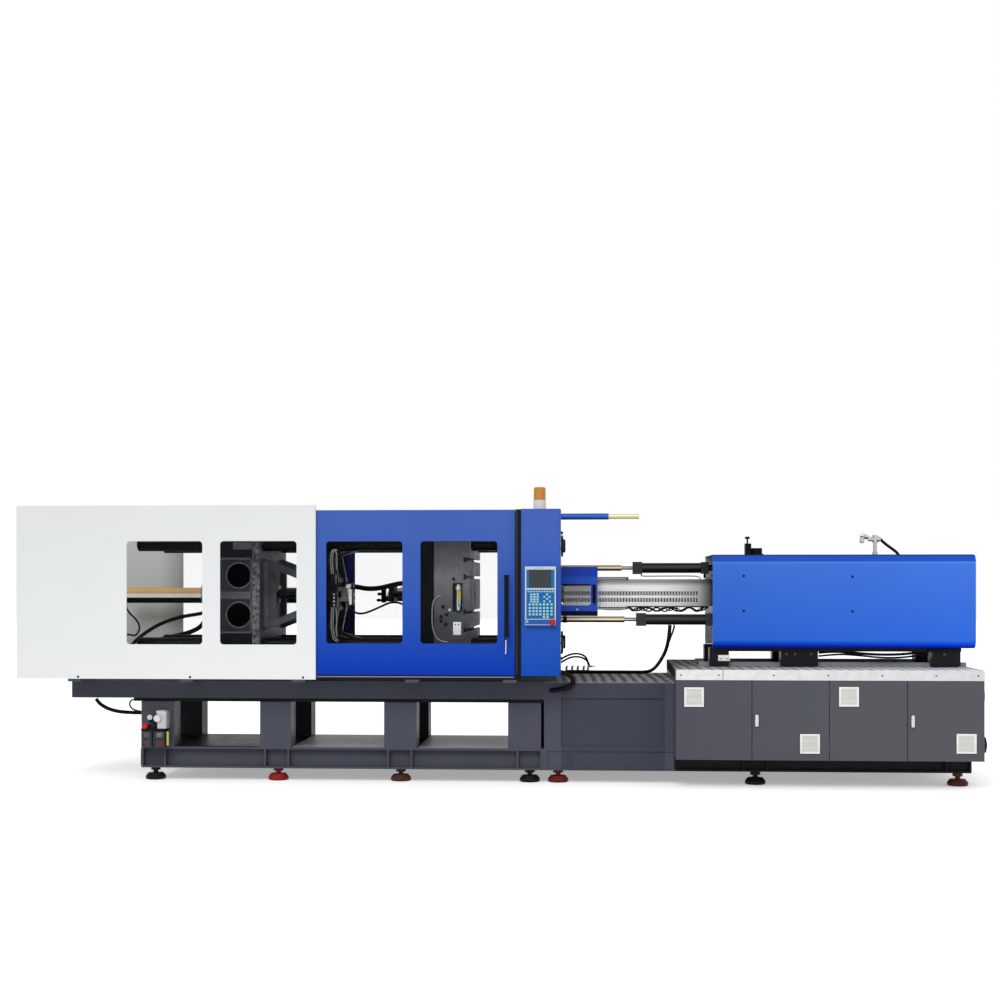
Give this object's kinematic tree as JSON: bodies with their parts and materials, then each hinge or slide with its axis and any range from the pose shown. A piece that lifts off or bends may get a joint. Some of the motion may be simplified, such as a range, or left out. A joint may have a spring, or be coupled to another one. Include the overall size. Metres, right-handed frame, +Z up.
{
  "type": "injection moulding machine",
  "caption": "Horizontal injection moulding machine with toggle clamp, sliding guards, control pillar, injection unit and base cabinets, for moulding plastic parts.",
  "frame": {"origin": "centre of the footprint on the floor", "axes": "+X along the machine towards the injection unit, +Y away from the operator, +Z up"},
  "size_m": [7.63, 1.86, 2.356],
  "materials": {
    "barrel": "heat tinted",
    "barrel_cover": "perforated sheet",
    "beacon_base": "moulded",
    "beacon_dome": "amber",
    "cabinet_door_1": "satin paint",
    "cabinet_door_2": "satin paint",
    "cabinet_door_3": "satin paint",
    "cabinet_door_4": "satin paint",
    "cabinet_handle_1": "polished",
    "cabinet_handle_2": "polished",
    "cabinet_shell": "satin paint",
    "cable_tray": "galvanised",
    "carriage_cylinders": "black",
    "carriage_rods": "yellow zinc sleeves",
    "clamp_base": "satin paint",
    "clamp_cylinder": "dark",
    "clamp_pans": "bare sheet",
    "controller_case": "satin",
    "controller_screen": "dark screen",
    "crosshead": "machined",
    "deck": "chequer plate",
    "door_rails": "dark",
    "ejector": "ground",
    "end_fan": "black",
    "fixed_guards": "smooth paint",
    "fixed_platen": "machined casting",
    "front_door": "smooth paint",
    "front_door_handle": "black",
    "front_door_panes": "clear",
    "guard_panes": "clear",
    "height_nuts": "turned",
    "injection_base": "satin paint",
    "injection_carriage": "dark",
    "injection_cover": "smooth paint",
    "keypad": "membrane",
    "levelling_feet": "black",
    "lower_crosshead_link": "machined",
    "lower_front_link": "machined",
    "lower_rear_link": "machined",
    "lube_unit": "moulded",
    "moving_platen": "machined casting",
    "pillars": "smooth paint",
    "platen_pins": "ground",
    "purge_guard": "smooth paint",
    "rear_door": "smooth paint",
    "rear_door_handle": "black",
    "rear_door_panes": "clear",
    "safety_bar": "yellow zinc",
    "safety_bar_tube": "smooth paint",
    "screw": "nitrided",
    "slide_rails": "ground",
    "stop_button": "moulded",
    "tailstock": "painted casting",
    "tailstock_pins": "ground",
    "throat_slide": "black",
    "tie_bar_nuts": "turned",
    "tie_bars": "polished",
    "upper_crosshead_link": "machined",
    "upper_front_link": "machined",
    "upper_rear_link": "machined"
  },
  "bodies": {
    "machine_base": {"clamp_base": "clamp_base", "clamp_pans": "clamp_pans", "injection_base": "injection_base", "levelling_feet": "levelling_feet", "deck": "deck", "fixed_platen": "fixed_platen", "tie_bars": "tie_bars", "tie_bar_nuts": "tie_bar_nuts", "slide_rails": "slide_rails", "fixed_guards": "fixed_guards", "guard_panes": "guard_panes", "door_rails": "door_rails", "pillars": "pillars", "controller_case": "controller_case", "controller_screen": "controller_screen", "keypad": "keypad", "beacon_base": "beacon_base", "beacon_dome": "beacon_dome", "safety_bar_tube": "safety_bar_tube", "carriage_rods": "carriage_rods", "cabinet_shell": "cabinet_shell", "end_fan": "end_fan", "lube_unit": "lube_unit", "cable_tray": "cable_tray"},
    "front_door": {"front_door": "front_door", "front_door_panes": "front_door_panes", "front_door_handle": "front_door_handle"},
    "rear_door": {"rear_door": "rear_door", "rear_door_panes": "rear_door_panes", "rear_door_handle": "rear_door_handle"},
    "tailstock": {"tailstock": "tailstock", "clamp_cylinder": "clamp_cylinder", "tailstock_pins": "tailstock_pins", "height_nuts": "height_nuts"},
    "crosshead": {"crosshead": "crosshead"},
    "upper_rear_link": {"upper_rear_link": "upper_rear_link"},
    "upper_front_link": {"upper_front_link": "upper_front_link"},
    "lower_rear_link": {"lower_rear_link": "lower_rear_link"},
    "lower_front_link": {"lower_front_link": "lower_front_link"},
    "upper_crosshead_link": {"upper_crosshead_link": "upper_crosshead_link"},
    "lower_crosshead_link": {"lower_crosshead_link": "lower_crosshead_link"},
    "moving_platen": {"moving_platen": "moving_platen", "platen_pins": "platen_pins", "safety_bar": "safety_bar"},
    "ejector": {"ejector": "ejector"},
    "injection_unit": {"injection_carriage": "injection_carriage", "barrel": "barrel", "barrel_cover": "barrel_cover", "carriage_cylinders": "carriage_cylinders", "injection_cover": "injection_cover", "throat_slide": "throat_slide"},
    "screw": {"screw": "screw"},
    "purge_guard": {"purge_guard": "purge_guard"},
    "cabinet_door_1": {"cabinet_door_1": "cabinet_door_1"},
    "cabinet_door_2": {"cabinet_door_2": "cabinet_door_2"},
    "cabinet_door_3": {"cabinet_door_3": "cabinet_door_3"},
    "cabinet_door_4": {"cabinet_door_4": "cabinet_door_4"},
    "cabinet_handle_1": {"cabinet_handle_1": "cabinet_handle_1"},
    "cabinet_handle_2": {"cabinet_handle_2": "cabinet_handle_2"},
    "stop_button": {"stop_button": "stop_button"}
  },
  "joints": [
    {"name": "front_door_slide", "type": "slide", "parent": "machine_base", "child": "front_door", "axis": [1, 0, 0], "range_m": [-1.25, 0]},
    {"name": "rear_door_slide", "type": "slide", "parent": "machine_base", "child": "rear_door", "axis": [1, 0, 0], "range_m": [-1.25, 0]},
    {"name": "mould_height", "type": "slide", "parent": "machine_base", "child": "tailstock", "axis": [1, 0, 0], "range_m": [-0.3, 0]},
    {"name": "clamp_toggle", "type": "hinge", "parent": "tailstock", "child": "upper_rear_link", "pos_m": [-1.51, 0, 1.987], "axis": [0, 1, 0], "range_deg": [0, 77]},
    {"name": "upper_knee", "type": "hinge", "parent": "upper_rear_link", "child": "upper_front_link", "pos_m": [-1.085, 0, 1.987], "axis": [0, 1, 0], "range_deg": [-154, 0]},
    {"name": "upper_platen_pin", "type": "hinge", "parent": "upper_front_link", "child": "moving_platen", "pos_m": [-0.66, 0, 1.987], "axis": [0, 1, 0], "range_deg": [0, 77]},
    {"name": "lower_toggle", "type": "hinge", "parent": "tailstock", "child": "lower_rear_link", "pos_m": [-1.51, 0, 1.027], "axis": [0, 1, 0], "range_deg": [-77, 0]},
    {"name": "lower_knee", "type": "hinge", "parent": "lower_rear_link", "child": "lower_front_link", "pos_m": [-1.085, 0, 1.027], "axis": [0, 1, 0], "range_deg": [0, 154]},
    {"name": "crosshead_slide", "type": "slide", "parent": "tailstock", "child": "crosshead", "axis": [1, 0, 0], "range_m": [-0.2895, 0]},
    {"name": "upper_crosshead_pin", "type": "hinge", "parent": "crosshead", "child": "upper_crosshead_link", "pos_m": [-1.36, 0, 1.623], "axis": [0, 1, 0], "range_deg": [0, 20.1]},
    {"name": "lower_crosshead_pin", "type": "hinge", "parent": "crosshead", "child": "lower_crosshead_link", "pos_m": [-1.36, 0, 1.391], "axis": [0, 1, 0], "range_deg": [-20.1, 0]},
    {"name": "ejector_stroke", "type": "slide", "parent": "moving_platen", "child": "ejector", "axis": [1, 0, 0], "range_m": [0, 0.15]},
    {"name": "injection_carriage_slide", "type": "slide", "parent": "machine_base", "child": "injection_unit", "axis": [1, 0, 0], "range_m": [-0.085, 0.16]},
    {"name": "screw_turn", "type": "hinge", "parent": "injection_unit", "child": "screw", "pos_m": [1, 0, 1.507], "axis": [1, 0, 0], "continuous": true},
    {"name": "purge_guard_slide", "type": "slide", "parent": "machine_base", "child": "purge_guard", "axis": [1, 0, 0], "range_m": [0, 0.2]},
    {"name": "cabinet_hinge_1", "type": "hinge", "parent": "machine_base", "child": "cabinet_door_1", "pos_m": [1.428, -0.87, 0.534], "axis": [0, 0, 1], "range_deg": [-100, 0]},
    {"name": "cabinet_hinge_2", "type": "hinge", "parent": "machine_base", "child": "cabinet_door_2", "pos_m": [2.604, -0.87, 0.534], "axis": [0, 0, 1], "range_deg": [0, 100]},
    {"name": "cabinet_hinge_3", "type": "hinge", "parent": "machine_base", "child": "cabinet_door_3", "pos_m": [2.61, -0.87, 0.534], "axis": [0, 0, 1], "range_deg": [-100, 0]},
    {"name": "cabinet_hinge_4", "type": "hinge", "parent": "machine_base", "child": "cabinet_door_4", "pos_m": [3.786, -0.87, 0.534], "axis": [0, 0, 1], "range_deg": [0, 100]},
    {"name": "cabinet_latch_1", "type": "hinge", "parent": "cabinet_door_2", "child": "cabinet_handle_1", "pos_m": [2.049, -0.87, 0.534], "axis": [0, 1, 0], "range_deg": [0, 90]},
    {"name": "cabinet_latch_2", "type": "hinge", "parent": "cabinet_door_4", "child": "cabinet_handle_2", "pos_m": [3.241, -0.87, 0.534], "axis": [0, 1, 0], "range_deg": [0, 90]},
    {"name": "stop_button_push", "type": "slide", "parent": "machine_base", "child": "stop_button", "axis": [0, 1, 0], "range_m": [0, 0.005]}
  ],
  "couplings": [
    {"joint": "upper_knee", "follows": "clamp_toggle", "ratio": -2},
    {"joint": "upper_platen_pin", "follows": "clamp_toggle", "ratio": 1},
    {"joint": "lower_toggle", "follows": "clamp_toggle", "ratio": -1},
    {"joint": "lower_knee", "follows": "clamp_toggle", "ratio": 2},
    {"joint": "crosshead_slide", "follows": "clamp_toggle", "m_per_rad": -0.215},
    {"joint": "upper_crosshead_pin", "follows": "clamp_toggle", "ratio": 0.26},
    {"joint": "lower_crosshead_pin", "follows": "clamp_toggle", "ratio": -0.26}
  ]
}
